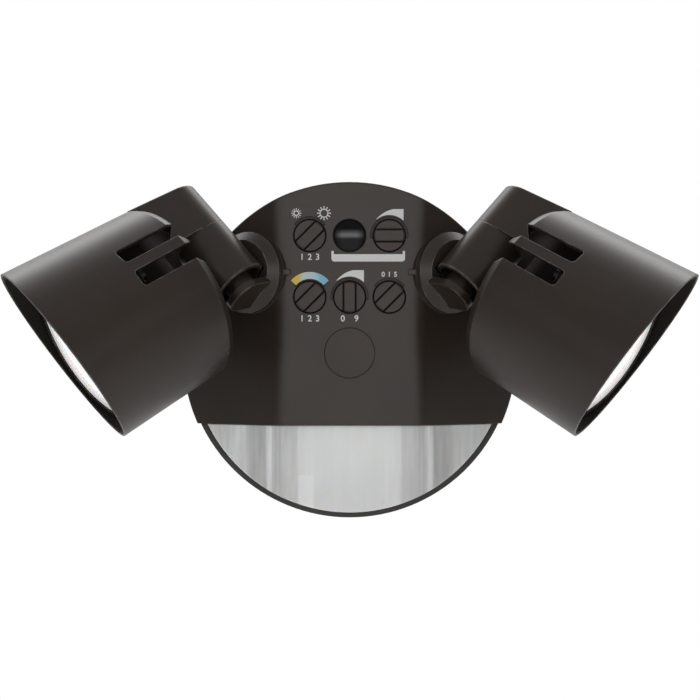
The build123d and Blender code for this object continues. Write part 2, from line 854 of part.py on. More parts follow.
with BuildPart() as swivel_base:
    with BuildSketch(swivel_level(disc_bottom)):
        Circle(swivel_radius)
    extrude(amount=swivel_disc_thickness)
    chamfer(swivel_base.edges().filter_by(GeomType.CIRCLE).sort_by(facet_axis)[-1], swivel_chamfer)
    # The cradle that the arm turns in: full depth under the arm, shallower up to the ear.
    with BuildSketch(arm_level(arm_low - cradle_end_gap)):
        Circle(arm_radius + cradle_clearance)
    extrude(amount=3 * arm_radius, mode=Mode.SUBTRACT)
    with BuildSketch(arm_level(ear_front)):
        Circle(arm_radius - cradle_step)
    extrude(amount=arm_radius, mode=Mode.SUBTRACT)
    add(ear.part)
    with BuildSketch(swivel_level(stem_tail)):
        Circle(stem_radius)
    extrude(amount=disc_bottom - stem_tail)
    with BuildSketch(arm_level(ear_front)):
        Circle(pivot_radius)
    extrude(amount=pivot_tip - ear_front)
    with BuildSketch(swivel_level(disc_bottom)):
        Circle(seal_mid_radius + seal_width / 2 + fit_gap)
        Circle(seal_mid_radius - seal_width / 2 - fit_gap, mode=Mode.SUBTRACT)
    extrude(amount=seal_groove, mode=Mode.SUBTRACT)
    with BuildSketch(swivel_level(stem_tail)):
        Circle(stem_bore)
    extrude(amount=disc_bottom + swivel_disc_thickness / 3 - stem_tail, mode=Mode.SUBTRACT)
    with BuildSketch(arm_level(pivot_tip)):
        Circle(pivot_screw_radius + thread_clearance)
    extrude(amount=-pivot_screw_depth, mode=Mode.SUBTRACT)
save_pair(swivel_base, "swivel_base")

# ---- Swivel seal: a ring in the groove under the disc ----
with BuildPart() as swivel_seal:
    with BuildSketch(swivel_level(boss_rise + seal_seat_gap)):
        Circle(seal_mid_radius + seal_width / 2)
        Circle(seal_mid_radius - seal_width / 2, mode=Mode.SUBTRACT)
    extrude(amount=seal_thickness)
save_pair(swivel_seal, "swivel_seal")

# ---- Swivel washer and nut: hold the stem from inside the housing ----
with BuildPart() as swivel_washer:
    with BuildSketch(swivel_level(-boss_depth - swivel_washer_gap)):
        Circle(swivel_washer_radius)
        Circle(stem_radius + fit_gap, mode=Mode.SUBTRACT)
    extrude(amount=-swivel_washer_thickness)
save_pair(swivel_washer, "swivel_washer")

with BuildPart() as swivel_nut:
    with BuildSketch(swivel_level(-boss_depth - swivel_washer_gap - swivel_washer_thickness)):
        RegularPolygon(radius=swivel_nut_radius, side_count=6)
        Circle(stem_radius + thread_clearance, mode=Mode.SUBTRACT)
    extrude(amount=-swivel_nut_thickness)
save_pair(swivel_nut, "swivel_nut")

# ---- Arm tube: a sleeve round the pivot, closed by a web inside ----
with BuildPart() as arm_tube:
    with BuildSketch(arm_level(arm_low)):
        Circle(arm_radius)
    extrude(amount=arm_seam - arm_low)
    chamfer(arm_tube.edges().filter_by(GeomType.CIRCLE).sort_by(arm_axis)[0], arm_end_chamfer)
    with BuildSketch(arm_level(arm_low)):
        Circle(arm_radius - arm_wall)
    extrude(amount=arm_web_low - arm_low, mode=Mode.SUBTRACT)
    with BuildSketch(arm_level(web_front)):
        Circle(arm_radius - arm_wall)
    extrude(amount=arm_seam - web_front, mode=Mode.SUBTRACT)
    with BuildSketch(arm_level(arm_web_low)):
        Circle(pivot_radius + pivot_clearance)
    extrude(amount=arm_web_thickness, mode=Mode.SUBTRACT)
save_pair(arm_tube, "arm_tube")

# ---- Pivot washer and screw: hold the arm tube on the pivot ----
with BuildPart() as pivot_washer:
    with BuildSketch(arm_level(pivot_tip)):
        Circle(pivot_washer_radius)
        Circle(pivot_screw_radius + fit_gap, mode=Mode.SUBTRACT)
    extrude(amount=pivot_washer_thickness)
save_pair(pivot_washer, "pivot_washer")

with BuildPart() as pivot_screw:
    with BuildSketch(arm_level(pivot_tip + pivot_washer_thickness)):
        Circle(pivot_screw_head_radius)
    extrude(amount=pivot_screw_head_height)
    with BuildSketch(arm_level(pivot_tip + pivot_washer_thickness)):
        Circle(pivot_screw_radius)
    extrude(amount=pivot_screw_spare - pivot_screw_depth)
    with BuildSketch(arm_level(pivot_tip + pivot_washer_thickness + pivot_screw_head_height)):
        RegularPolygon(radius=pivot_screw_head_radius / 2, side_count=6)
    extrude(amount=-pivot_screw_head_height / 2, mode=Mode.SUBTRACT)
save_pair(pivot_screw, "pivot_screw")

# ---- Neck: round at the back, square in front, with a top that rises towards the barrel ----
neck_back_top = head_origin + arm_direction * neck_top - head_direction * arm_radius
neck_slope = math.radians(neck_top_rise)
neck_top_plane = Plane(
    origin=neck_back_top,
    x_dir=head_direction * math.cos(neck_slope) + arm_direction * math.sin(neck_slope),
    z_dir=arm_direction * math.cos(neck_slope) - head_direction * math.sin(neck_slope),
)
with BuildPart() as neck:
    with BuildSketch(arm_level(arm_seam)):
        Circle(arm_radius)
        with Locations((neck_shoulder / 2, 0)):
            Rectangle(neck_shoulder, 2 * arm_radius)
    extrude(amount=2 * neck_top)
    split(bisect_by=neck_top_plane, keep=Keep.BOTTOM)
    fillet(neck.faces().sort_by(arm_axis)[-1].edges(), neck_edge_round)
    # A notch under the top, open towards the barrel.
    with BuildSketch(Plane(origin=head_origin, x_dir=head_direction, z_dir=-head_up)):
        with BuildLine():
            Polyline(
                (notch_low_reach, arm_seam - neck_edge_round),
                (notch_rear, notch_rear_row),
                (notch_top_reach, notch_top),
                (neck_shoulder + neck_edge_round, notch_top),
                (neck_shoulder + neck_edge_round, arm_seam - neck_edge_round),
                close=True,
            )
        make_face()
    extrude(amount=2 * arm_radius, both=True, mode=Mode.SUBTRACT)

# ---- Lamp body: a cast cup for the light engine, with cooling fins and the neck ----
body_front = body_rear + body_plate + body_cup_depth
with BuildPart() as lamp_body:
    with BuildSketch(head_plane):
        with BuildLine():
            Polyline(
                (body_rear, 0),
                (body_rear, barrel_inner(body_rear) - fit_gap),
                (body_front, barrel_inner(body_front) - fit_gap),
                (body_front, barrel_inner(body_front) - fit_gap - body_cup_wall),
                (body_rear + body_plate, barrel_inner(body_rear) - fit_gap - body_cup_wall),
                (body_rear + body_plate, 0),
                close=True,
            )
        make_face()
    revolve(axis=barrel_axis)
    # Fins behind the plate, under the neck.
    fin_reach = barrel_inner(fin_rear) - fin_edge_gap
    with BuildSketch(barrel_level(fin_rear)):
        Circle(fin_reach)
        with Locations((0, fin_top - 2 * fin_reach)):
            Rectangle(4 * fin_reach, 4 * fin_reach, mode=Mode.INTERSECT)
        with Locations(*[(fin_start + index * fin_pitch, 0) for index in range(fin_count)]):
            Rectangle(fin_thickness, 4 * fin_reach, mode=Mode.INTERSECT)
    extrude(amount=body_rear - fin_rear)
    with BuildSketch(barrel_level(fin_rear)):
        with lens_posts():
            Circle(head_screw_head_radius + running_gap)
    extrude(amount=body_rear - body_boss_length - fin_rear, mode=Mode.SUBTRACT)
    # The neck and the web that carries it into the barrel.
    add(neck.part)
    with BuildSketch(arm_level(arm_seam)):
        with Locations(((notch_rear + body_rear) / 2, 0)):
            Rectangle(body_rear - notch_rear + 2 * neck_edge_round, 2 * neck_inner_half_width)
    extrude(amount=notch_top - arm_seam)
    with BuildSketch(arm_level(web_low_row)):
        with Locations(((web_low_rear + body_rear) / 2, 0)):
            Rectangle(body_rear - web_low_rear, 2 * neck_inner_half_width)
    extrude(amount=notch_top - web_low_row)
    with BuildSketch(arm_level(arm_seam)):
        Circle(arm_radius - arm_wall - fit_gap)
    extrude(amount=-neck_spigot_depth)
    with BuildSketch(arm_level(arm_seam - neck_spigot_depth)):
        Circle(neck_spigot_bore)
    extrude(amount=notch_top - arm_seam, mode=Mode.SUBTRACT)
    with BuildSketch(barrel_level(0)):
        with Locations((0, wire_duct_row)):
            Circle(wire_duct_radius)
    extrude(amount=body_rear + body_plate, mode=Mode.SUBTRACT)
    with BuildSketch(barrel_level(body_rear - body_boss_length)):
        with lens_posts():
            Circle(body_boss_radius)
    extrude(amount=body_boss_length)
    with BuildSketch(barrel_level(0)):
        with lens_posts():
            Circle(head_screw_radius + fit_gap)
    extrude(amount=body_front, mode=Mode.SUBTRACT)
save_pair(lamp_body, "lamp_body")

# ---- Lamp shell: the tapered barrel, with an oblique hood and two slots at the rear ----
barrel_front = barrel_rear + barrel_length
barrel_reach = barrel_front + 2 * barrel_outer(barrel_front) * math.tan(hood_tilt)
hood_normal = head_direction * math.cos(hood_tilt) - head_up * math.sin(hood_tilt)
hood_plane = Plane(origin=head_origin + head_direction * barrel_front, z_dir=hood_normal)
chamfer_front = barrel_rear + barrel_rear_chamfer
slot_side = slot_width / 2
with BuildPart() as lamp_shell:
    with BuildSketch(head_plane):
        with BuildLine():
            Polyline(
                (barrel_rear, barrel_inner(barrel_rear)),
                (barrel_rear, barrel_outer(barrel_rear) - barrel_rear_drop),
                (chamfer_front, barrel_outer(chamfer_front)),
                (barrel_reach, barrel_outer(barrel_reach)),
                (barrel_reach, barrel_inner(barrel_reach)),
                close=True,
            )
        make_face()
    revolve(axis=barrel_axis)
    split(bisect_by=hood_plane, keep=Keep.BOTTOM)
    for side in (-1, 1):
        lean = math.radians(slot_middle + side * slot_angle)
        outward = head_up * math.cos(lean) + arm_direction * math.sin(lean)
        slot_root = head_origin + outward * (barrel_rear_radius / 2)
        slot_plane = Plane(origin=slot_root, x_dir=head_direction, z_dir=outward)
        with BuildSketch(slot_plane) as slot:
            with BuildLine():
                Polyline(
                    (0, -slot_side),
                    (barrel_rear + slot_length, -slot_side),
                    (barrel_rear + slot_length, slot_side),
                    (chamfer_front, slot_side),
                    (barrel_rear, slot_side + slot_flare),
                    (0, slot_side + slot_flare),
                    close=True,
                )
            make_face()
            fillet(slot.vertices().sort_by(Axis.X)[-2:], slot_round)
        extrude(amount=barrel_rear_radius, mode=Mode.SUBTRACT)
save_pair(lamp_shell, "lamp_shell")

# ---- Light engine: board, emitters and reflector ----
led_board_rear = body_rear + body_plate
led_board_front = led_board_rear + board_thickness
with BuildPart() as led_board:
    with BuildSketch(barrel_level(led_board_rear)):
        Circle(light_radius - led_board_gap)
    extrude(amount=board_thickness)
save_pair(led_board, "led_board")

with BuildPart() as led_emitters:
    with BuildSketch(barrel_level(led_board_front)):
        Rectangle(led_size, led_size)
        with PolarLocations(led_ring_radius, led_ring_count):
            Rectangle(led_size, led_size)
    extrude(amount=led_height)
save_pair(led_emitters, "led_emitters")

with BuildPart() as reflector:
    with BuildSketch(head_plane):
        with BuildLine():
            Polyline(
                (led_board_front, reflector_rear_radius),
                (lens_frame_rear, light_radius - reflector_wall),
                (lens_frame_rear, light_radius),
                (led_board_front, reflector_rear_radius + reflector_wall),
                close=True,
            )
        make_face()
    revolve(axis=barrel_axis)
save_pair(reflector, "reflector")

# ---- Lens frame: a ring in the barrel, with posts back to the lamp body ----
frame_front = lens_frame_rear + lens_frame_depth
plate_front = lens_frame_rear + lens_frame_plate
frame_rear_radius = barrel_inner(lens_frame_rear) - fit_gap
frame_front_radius = barrel_inner(frame_front) - fit_gap
seat_radius = frame_rear_radius - lens_frame_skirt
with BuildPart() as lens_frame:
    with BuildSketch(head_plane):
        with BuildLine():
            Polyline(
                (lens_frame_rear, light_radius - reflector_wall),
                (lens_frame_rear, frame_rear_radius),
                (frame_front, frame_front_radius),
                (frame_front, seat_radius),
                (plate_front, seat_radius),
                (plate_front, light_radius - reflector_wall),
                close=True,
            )
        make_face()
    revolve(axis=barrel_axis)
    with BuildSketch(barrel_level(led_board_rear)):
        with lens_posts():
            Circle(lens_post_radius)
    extrude(amount=lens_frame_rear - led_board_rear)
    with BuildSketch(barrel_level(led_board_rear)):
        with lens_posts():
            Circle(head_screw_radius + thread_clearance)
    extrude(amount=lens_frame_rear - led_board_rear, mode=Mode.SUBTRACT)
save_pair(lens_frame, "lens_frame")

with BuildPart() as lens_gasket:
    with BuildSketch(barrel_level(plate_front)):
        Circle(seat_radius - fit_gap)
        Circle(seat_radius - fit_gap - lens_gasket_width, mode=Mode.SUBTRACT)
    extrude(amount=lens_gasket_thickness)
save_pair(lens_gasket, "lens_gasket")

lens_rear = plate_front + lens_gasket_thickness
with BuildPart() as lamp_lens:
    lens_rim = lens_rear + head_lens_thickness
    lens_radius = seat_radius - fit_gap
    with BuildSketch(head_plane):
        with BuildLine():
            Polyline(
                (lens_rim + head_lens_crown, 0),
                (lens_rear, 0),
                (lens_rear, lens_radius),
                (lens_rim, lens_radius),
            )
            ThreePointArc(
                (lens_rim, lens_radius),
                (lens_rim + crown_middle(lens_radius, head_lens_crown), lens_radius / 2),
                (lens_rim + head_lens_crown, 0),
            )
        make_face()
    revolve(axis=barrel_axis)
save_pair(lamp_lens, "lamp_lens")

with BuildPart() as lens_ring:
    with BuildSketch(barrel_level(lens_rim + fit_gap)):
        Circle(seat_radius - fit_gap)
        Circle(seat_radius - fit_gap - lens_ring_width, mode=Mode.SUBTRACT)
    extrude(amount=lens_ring_thickness)
save_pair(lens_ring, "lens_ring")

# ---- Head screws: from behind the lamp body into the posts of the lens frame ----
screw_seat = body_rear - body_boss_length
with BuildPart() as head_screws:
    with BuildSketch(barrel_level(screw_seat)):
        with lens_posts():
            Circle(head_screw_radius)
    extrude(amount=head_screw_length)
    with BuildSketch(barrel_level(screw_seat)):
        with lens_posts():
            Circle(head_screw_head_radius)
    extrude(amount=-head_screw_head_height)
save_pair(head_screws, "head_screws")
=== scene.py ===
import json
import math

import bmesh
import bpy
from mathutils import Matrix, Vector


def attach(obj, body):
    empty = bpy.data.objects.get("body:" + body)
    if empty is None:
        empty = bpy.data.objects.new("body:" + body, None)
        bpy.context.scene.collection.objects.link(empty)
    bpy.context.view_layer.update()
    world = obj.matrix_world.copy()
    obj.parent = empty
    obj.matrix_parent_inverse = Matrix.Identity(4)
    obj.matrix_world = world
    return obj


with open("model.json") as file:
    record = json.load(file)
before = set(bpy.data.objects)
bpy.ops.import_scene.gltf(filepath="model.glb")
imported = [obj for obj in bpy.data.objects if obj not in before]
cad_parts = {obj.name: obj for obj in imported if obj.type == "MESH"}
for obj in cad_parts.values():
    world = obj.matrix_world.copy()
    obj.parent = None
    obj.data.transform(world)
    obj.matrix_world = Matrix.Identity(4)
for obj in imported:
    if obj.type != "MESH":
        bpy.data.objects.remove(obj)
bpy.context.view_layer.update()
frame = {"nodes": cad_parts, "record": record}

MM = 0.001

# ---- Sizes in millimetres, repeated from the construction where a piece has to meet it ----
FLAT_FRONT = 49.6
DIAL_COLUMN = 18.36
DIAL_ROW_TOP = 54.2
DIAL_ROW_LOW = 25.8
DIAL_RADIUS = 7.3
DIAL_GAP = (-0.45, -0.15, 0.40, 0.75)
COLOUR_HALF_WIDTH = 9.5
WINDOW_BAR_ROW = DIAL_ROW_TOP + 0.4
WINDOW_BAR_TOP = 2.6
WINDOW_BAR_LOW = (-1.9, -0.5)
WINDOW_BAR_ENDS = (3.4, 6.6)
PRINT_RISE = 0.06
PRINT_SINK = 0.02
NUMERAL_SIZE_PER_HEIGHT = 1.38
NUMERAL_SPACING = 1.12
NUMERAL_BOLDER = 0.06

# ---- The left barrel, in metres: its origin, its direction and its taper ----
HEAD_ORIGIN = (-0.0589, -0.0532, 0.0406)
HEAD_DIRECTION = (-0.736, -0.494, -0.463)
BARREL_REAR = 0.0273
BARREL_TAPER = 0.0377
BARREL_INNER_RADIUS = 0.0402
BARREL_WALL_BLEND = 0.0008
BARREL_REAR_BLEND = (-0.004, 0.003)

# ---- The sensor lens, in metres: its half width, and where its shading changes ----
SENSOR_HALF_WIDTH = 0.070
SENSOR_SHADED_SIDE = (0.022, 0.052)
SENSOR_SHADED_LOW = (-0.040, -0.070)
HIGHLIGHT_PATCH_SIDE = (-0.0240, -0.0235)
HIGHLIGHT_PATCH_END = (-0.0170, -0.0165)
HIGHLIGHT_PATCH_TOP = (-0.0570, -0.0564)

# Greys of the sensor lens, by the share of its half width: its own stripes, and a painted highlight on its
# rounded corners, the light stops from 0.520 to 0.545.
SENSOR_BANDS_AND_HIGHLIGHT = (
    (0.0, 0.86),
    (0.225, 0.84),
    (0.245, 0.87),
    (0.335, 0.84),
    (0.350, 0.72),
    (0.500, 0.66),
    (0.520, 0.86),
    (0.545, 0.86),
    (0.560, 0.62),
    (0.665, 0.66),
    (0.700, 0.90),
    (1.0, 0.84),
)
SENSOR_RIBS = (0.44, 0.46, 0.51, 0.52)


# =====================================================================
# Node helpers
# =====================================================================
RANGE_SOCKETS = ("From Min", "From Max", "To Min", "To Max")


class Tree:
    """A small wrapper that adds nodes to a material and links them by name."""

    def __init__(self, name):
        self.material = bpy.data.materials.new(name)
        self.material.use_nodes = True
        self.nodes = self.material.node_tree.nodes
        self.links = self.material.node_tree.links
        self.nodes.clear()
        self.output = self.add("ShaderNodeOutputMaterial")
        self.shader = self.add("ShaderNodeBsdfPrincipled")
        self.link(self.shader.outputs[0], self.output.inputs["Surface"])
        self.place = self.add("ShaderNodeTexCoord").outputs["Object"]

    def add(self, kind, **settings):
        node = self.nodes.new(kind)
        for key, value in settings.items():
            setattr(node, key, value)
        return node

    def link(self, source, target):
        self.links.new(source, target)

    def set(self, **sockets):
        """Set unlinked sockets of the main shader: underscores stand for spaces."""
        for key, value in sockets.items():
            self.shader.inputs[key.replace("_", " ")].default_value = value

    def noise(self, scale, detail=2.0, roughness=0.5, stretch=None):
        """Value noise at a number of features per metre, stretched along the axes if asked."""
        node = self.add("ShaderNodeTexNoise")
        node.inputs["Scale"].default_value = scale
        node.inputs["Detail"].default_value = detail
        node.inputs["Roughness"].default_value = roughness
        source = self.place
        if stretch:
            mapping = self.add("ShaderNodeMapping")
            mapping.inputs["Scale"].default_value = stretch
            self.link(self.place, mapping.inputs["Vector"])
            source = mapping.outputs[0]
        self.link(source, node.inputs["Vector"])
        return node.outputs["Fac"]

    def cells(self, scale):
        node = self.add("ShaderNodeTexVoronoi", feature="F1")
        node.inputs["Scale"].default_value = scale
        self.link(self.place, node.inputs["Vector"])
        return node.outputs["Distance"]

    def remap(self, value, low, high, to_low, to_high):
        node = self.add("ShaderNodeMapRange")
        for socket, number in zip(RANGE_SOCKETS, (low, high, to_low, to_high)):
            node.inputs[socket].default_value = number
        self.link(value, node.inputs["Value"])
        return node.outputs[0]

    def math(self, operation, first, second=None):
        node = self.add("ShaderNodeMath", operation=operation)
        for socket, value in zip(node.inputs, (first, second)):
            if isinstance(value, (int, float)):
                socket.default_value = value
            elif value is not None:
                self.link(value, socket)
        return node.outputs[0]

    def mix(self, factor, first, second):
        """Mix two colours; each is a tuple or a socket."""
        node = self.add("ShaderNodeMix", data_type="RGBA")
        self.link(factor, node.inputs["Factor"])
        for socket, value in ((node.inputs[6], first), (node.inputs[7], second)):
            if isinstance(value, tuple):
                socket.default_value = (*value, 1.0)
            else:
                self.link(value, socket)
        return node.outputs[2]

    def ramp(self, value, stops):
        node = self.add("ShaderNodeValToRGB")
        elements = node.color_ramp.elements
        while len(elements) < len(stops):
            elements.new(0.5)
        for element, (position, colour) in zip(elements, stops):
            element.position = position
            element.color = (*colour, 1.0)
        self.link(value, node.inputs["Fac"])
        return node.outputs["Color"]

    def edges(self, radius, full=0.80):
        """A mask that is 0 on flats and rises towards 1 on edges, and the rounded normal."""
        bevel = self.add("ShaderNodeBevel", samples=4)
        bevel.inputs["Radius"].default_value = radius
        geometry = self.add("ShaderNodeNewGeometry")
        dot = self.add("ShaderNodeVectorMath", operation="DOT_PRODUCT")
        self.link(bevel.outputs[0], dot.inputs[0])
        self.link(geometry.outputs["Normal"], dot.inputs[1])
        mask = self.remap(dot.outputs["Value"], 0.995, full, 0.0, 1.0)
        return mask, bevel.outputs[0]

    def bump(self, height, strength, distance, normal=None):
        node = self.add("ShaderNodeBump")
        node.inputs["Strength"].default_value = strength
        node.inputs["Distance"].default_value = distance
        self.link(height, node.inputs["Height"])
        if normal is not None:
            self.link(normal, node.inputs["Normal"])
        return node.outputs[0]

    def inside_barrel(self):
        """A mask of what lies inside a barrel. The right one is folded onto the left one."""
        sides = self.add("ShaderNodeSeparateXYZ")
        self.link(self.place, sides.inputs[0])
        mirrored = self.add("ShaderNodeCombineXYZ")
        left = self.math("MULTIPLY", self.math("ABSOLUTE", sides.outputs["X"]), -1.0)
        self.link(left, mirrored.inputs["X"])
        self.link(sides.outputs["Y"], mirrored.inputs["Y"])
        self.link(sides.outputs["Z"], mirrored.inputs["Z"])
        offset = self.add("ShaderNodeVectorMath", operation="SUBTRACT")
        self.link(mirrored.outputs[0], offset.inputs[0])
        offset.inputs[1].default_value = HEAD_ORIGIN
        along = self.add("ShaderNodeVectorMath", operation="DOT_PRODUCT")
        self.link(offset.outputs[0], along.inputs[0])
        along.inputs[1].default_value = HEAD_DIRECTION
        reach = self.add("ShaderNodeVectorMath", operation="LENGTH")
        self.link(offset.outputs[0], reach.inputs[0])
        square = self.math(
            "SUBTRACT",
            self.math("MULTIPLY", reach.outputs["Value"], reach.outputs["Value"]),
            self.math("MULTIPLY", along.outputs["Value"], along.outputs["Value"]),
        )
        radius = self.math("SQRT", self.math("MAXIMUM", square, 0.0))
        past = self.math("SUBTRACT", along.outputs["Value"], BARREL_REAR)
        straight = self.math("SUBTRACT", radius, self.math("MULTIPLY", past, BARREL_TAPER))
        wall = BARREL_INNER_RADIUS + BARREL_WALL_BLEND
        under = self.remap(straight, BARREL_INNER_RADIUS, wall, 1.0, 0.0)
        return self.math("MULTIPLY", under, self.remap(past, *BARREL_REAR_BLEND, 0.0, 1.0))

    def recess_shade(self, distance):
        """A mask from ambient occlusion that rises towards 1 in narrow openings and grooves; it is used to
        paint shade there.
        """
        occlusion = self.add("ShaderNodeAmbientOcclusion", samples=6)
        occlusion.inputs["Distance"].default_value = distance
        return self.remap(occlusion.outputs["AO"], 0.45, 0.85, 1.0, 0.0)

    def dial_gap_shade(self):
        """A mask that is 1 in the ring round every round control, by its distance from the nearest centre; it
        is used to paint a ring of shade there.
        """
        split = self.add("ShaderNodeSeparateXYZ")
        self.link(self.place, split.inputs[0])
        side = self.math("ABSOLUTE", split.outputs["X"])
        outer = self.math("ABSOLUTE", self.math("SUBTRACT", side, DIAL_COLUMN * MM))
        top = self.math("ABSOLUTE", self.math("SUBTRACT", split.outputs["Z"], DIAL_ROW_TOP * MM))
        low = self.math("ABSOLUTE", self.math("SUBTRACT", split.outputs["Z"], DIAL_ROW_LOW * MM))
        joined = self.add("ShaderNodeCombineXYZ")
        self.link(self.math("MINIMUM", side, outer), joined.inputs["X"])
        self.link(self.math("MINIMUM", top, low), joined.inputs["Y"])
        reach = self.add("ShaderNodeVectorMath", operation="LENGTH")
        self.link(joined.outputs[0], reach.inputs[0])
        radius = reach.outputs["Value"]
        gap_start, gap_dark, gap_fade, gap_end = [(DIAL_RADIUS + step) * MM for step in DIAL_GAP]
        rising = self.remap(radius, gap_start, gap_dark, 0.0, 1.0)
        falling = self.remap(radius, gap_fade, gap_end, 1.0, 0.0)
        return self.math("MULTIPLY", rising, falling)

    def finish(self, socket, source):
        """Link a finished value to a socket of the main shader."""
        self.link(source, self.shader.inputs[socket])


def tint(colour, share):
    """A darker or lighter version of a linear colour."""
    return tuple(min(1.0, channel * share) for channel in colour)


# =====================================================================
# Materials
# =====================================================================
def powder_coat(name, base, rough=0.42, wear_and_highlight=(0.13, 0.115, 0.10), inner=False, dials=False):
    """Satin powder coat on a casting: fine orange peel, faint mottling and dust; lighter rubbed edges, which
    are a painted edge highlight where the edge colour is pale; painted shade in grooves; and, where asked,
    painted shade inside the barrel and round the dials.
    """
    tree = Tree(name)
    broad = tree.noise(26.0, 3.0)
    fine = tree.noise(2600.0, 2.0, 0.6)
    peel = tree.noise(950.0, 1.0, 0.4)
    speck = tree.remap(tree.noise(5200.0, 0.0), 0.62, 0.72, 0.0, 1.0)
    body = tree.mix(tree.remap(broad, 0.35, 0.65, 0.0, 1.0), tint(base, 0.86), tint(base, 1.14))
    body = tree.mix(tree.math("MULTIPLY", speck, 0.35), body, tint(base, 1.8))
    mask, rounded = tree.edges(0.0007, 0.93)
    lighter_edges = tree.math("MULTIPLY", mask, tree.remap(tree.noise(210.0, 3.0), 0.42, 0.66, 0.25, 0.85))
    # Painted shade: grooves and narrow openings are darkened towards a near black of the base colour.
    gap_shade = tree.math("MULTIPLY", tree.recess_shade(0.0016), 0.55)
    colour = tree.mix(gap_shade, body, tint(base, 0.12))
    roughness = tree.remap(fine, 0.2, 0.8, rough - 0.05, rough + 0.08)
    if inner:
        # Painted shade: inside the barrel the casting is painted near black, with more roughness and little
        # specular.
        inside = tree.inside_barrel()
        colour = tree.mix(inside, colour, BARREL_INNER_SHADE)
        roughness = tree.math("MAXIMUM", roughness, tree.math("MULTIPLY", inside, 0.8))
        tree.finish("Specular IOR Level", tree.remap(inside, 0.0, 1.0, COAT_SPECULAR, COAT_SPECULAR * 0.15))
    else:
        tree.set(Specular_IOR_Level=COAT_SPECULAR)
    # Lighter edges: rubbed paint, and where the edge colour is pale, as on the head and swivel castings, a
    # painted edge highlight.
    colour = tree.mix(lighter_edges, colour, wear_and_highlight)
    # Painted shade: a dark ring round each dial on the housing.
    if dials:
        colour = tree.mix(tree.dial_gap_shade(), colour, tint(base, 0.1))
    tree.finish("Base Color", colour)
    tree.finish("Roughness", roughness)
    height = tree.math("ADD", tree.math("MULTIPLY", peel, 0.6), tree.math("MULTIPLY", fine, 0.4))
    tree.finish("Normal", tree.bump(height, 0.22, 0.00012, rounded))
    return tree.material


def moulded(name, base, rough=0.45, grain=1700.0, depth=0.2, dials=False):
    """Moulded plastic with a spark-eroded grain, slight flow marks and lighter rubbed edges; on the dials,
    painted shade in the ring round them and in their grooves.
    """
    tree = Tree(name)
    flow = tree.noise(40.0, 2.0)
    grain_value = tree.noise(grain, 2.0, 0.55)
    body = tree.mix(tree.remap(flow, 0.35, 0.65, 0.0, 1.0), tint(base, 0.9), tint(base, 1.1))
    mask, rounded = tree.edges(0.00025)
    lighter_edges = tree.math("MULTIPLY", mask, tree.remap(tree.noise(330.0, 2.0), 0.4, 0.7, 0.15, 0.8))
    colour = tree.mix(lighter_edges, body, tint(base, 1.7))
    if dials:
        # Painted shade: the ring round each dial and its grooves are darkened, with less specular there.
        dark = tree.math("MAXIMUM", tree.dial_gap_shade(), tree.recess_shade(0.0018))
        colour = tree.mix(dark, colour, tint(base, 0.08))
        tree.finish("Specular IOR Level", tree.remap(dark, 0.0, 1.0, PLASTIC_SPECULAR, 0.05))
    else:
        tree.set(Specular_IOR_Level=PLASTIC_SPECULAR)
    tree.finish("Base Color", colour)
    tree.finish("Roughness", tree.remap(grain_value, 0.25, 0.75, rough - 0.06, rough + 0.08))
    tree.finish("Normal", tree.bump(grain_value, depth, 0.0001, rounded))
    return tree.material


def plated(name, base, rough=0.28):
    """Zinc or nickel plating: fine drawing lines, cloudy passivation and lighter edges."""
    tree = Tree(name)
    cloud = tree.noise(160.0, 4.0, 0.6)
    lines = tree.noise(900.0, 3.0, 0.6, stretch=(1.0, 1.0, 14.0))
    body = tree.mix(tree.remap(cloud, 0.35, 0.68, 0.0, 1.0), tint(base, 0.72), base)
    mask, rounded = tree.edges(0.0003)
    tree.finish("Base Color", tree.mix(tree.math("MULTIPLY", mask, 0.6), body, tint(base, 1.25)))
    tree.finish("Roughness", tree.remap(lines, 0.3, 0.7, rough - 0.06, rough + 0.14))
    tree.finish("Normal", tree.bump(lines, 0.15, 0.00008, rounded))
    tree.set(Metallic=1.0)
    return tree.material


def rubber(name, base):
    """Matte rubber or foam with a fine pitted skin and pale dust."""
    tree = Tree(name)
    pits = tree.cells(1500.0)
    dust = tree.remap(tree.noise(120.0, 4.0), 0.5, 0.8, 0.0, 0.5)
    tree.finish("Base Color", tree.mix(dust, base, tint(base, 2.2)))
    tree.finish("Roughness", tree.remap(pits, 0.0, 0.6, 0.95, 0.7))
    tree.finish("Normal", tree.bump(pits, 0.5, 0.00015))
    tree.set(Specular_IOR_Level=0.3)
    return tree.material


